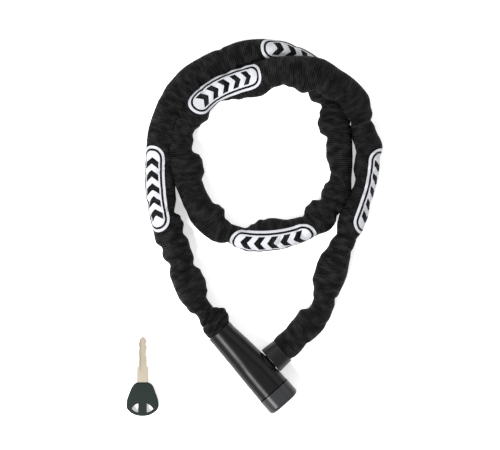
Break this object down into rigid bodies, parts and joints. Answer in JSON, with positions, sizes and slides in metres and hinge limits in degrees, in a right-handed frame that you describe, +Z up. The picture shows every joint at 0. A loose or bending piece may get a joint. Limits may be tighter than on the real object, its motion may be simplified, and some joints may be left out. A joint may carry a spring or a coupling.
{
  "type": "chain lock",
  "caption": "Bicycle chain lock: square links in a black fabric sleeve, a cylinder lock body on one end, a pull-out bolt on the other, and its key.",
  "frame": {"origin": "on the surface the lock lies on, under the crossing of the cylinder axis and the bolt socket's axis", "axes": "+X along the lock body towards the key end, +Y out of the bolt socket, +Z up"},
  "size_m": [0.2813, 0.342, 0.0453],
  "materials": {
    "casing_plastic": "gloss",
    "cap_plastic": "semi-gloss",
    "collar_plastic": "satin",
    "steel": "machined",
    "chain_steel": "hardened, zinc plated",
    "brass": "machined",
    "plug_metal": "satin nickel",
    "seal_rubber": "matt",
    "sleeve_fabric": "woven nylon",
    "key_metal": "nickel silver",
    "key_plastic": "fine satin"
  },
  "bodies": {
    "lock": {"lock_casing": "casing_plastic", "end_cap": "cap_plastic", "lock_barrel": "steel", "chain_anchor_pin": "steel", "mouth_crimp_ring": "steel", "socket_seal": "seal_rubber", "socket_bush": "steel", "cylinder_housing": "brass", "housing_pin": "steel", "latch_spring": "steel", "sleeve_outer_left": "sleeve_fabric", "sleeve_outer_top": "sleeve_fabric", "sleeve_inner_right": "sleeve_fabric", "sleeve_inner_left": "sleeve_fabric", "sleeve_hump": "sleeve_fabric", "sleeve_outer_right": "sleeve_fabric", "sleeve_at_bolt": "sleeve_fabric", "chain_links_flat": "chain_steel", "chain_links_upright": "chain_steel", "chain_links_at_bolt": "chain_steel"},
    "plug": {"cylinder_plug": "plug_metal", "plug_cam": "steel", "cam_pin": "steel", "wafer_springs": "steel"},
    "wafers": {"wafers": "brass"},
    "latch": {"latch_slide": "steel"},
    "bolt": {"bolt_pin": "steel", "bolt_rivet": "steel", "bolt_collar": "collar_plastic", "collar_crimp_ring": "steel", "bolt_oring": "seal_rubber", "end_link": "chain_steel"},
    "key": {"key_blade": "key_metal", "key_head": "key_plastic"}
  },
  "joints": [
    {"name": "plug_turn", "type": "hinge", "parent": "lock", "child": "plug", "pos_m": [0.02, 0, 0.01375], "axis": [1, 0, 0], "range_deg": [-90, 0]},
    {"name": "wafer_slide", "type": "slide", "parent": "plug", "child": "wafers", "axis": [0, 0, 1], "range_m": [0, 0.0009], "deforming": ["wafer_springs"]},
    {"name": "latch_lift", "type": "slide", "parent": "lock", "child": "latch", "axis": [0, 0, 1], "range_m": [-0.0022, 0], "deforming": ["latch_spring"]},
    {"name": "bolt_pull", "type": "slide", "parent": "lock", "child": "bolt", "axis": [0, 1, 0], "range_m": [0, 0.03], "deforming": ["sleeve_at_bolt", "chain_links_at_bolt"]},
    {"name": "key_lift", "type": "slide", "parent": "lock", "child": "key", "axis": [0, 0, 1], "range_m": [0, 0.1]}
  ],
  "couplings": [
    {"joint": "latch_lift", "follows": "plug_turn", "m_per_rad": 0.0014}
  ]
}
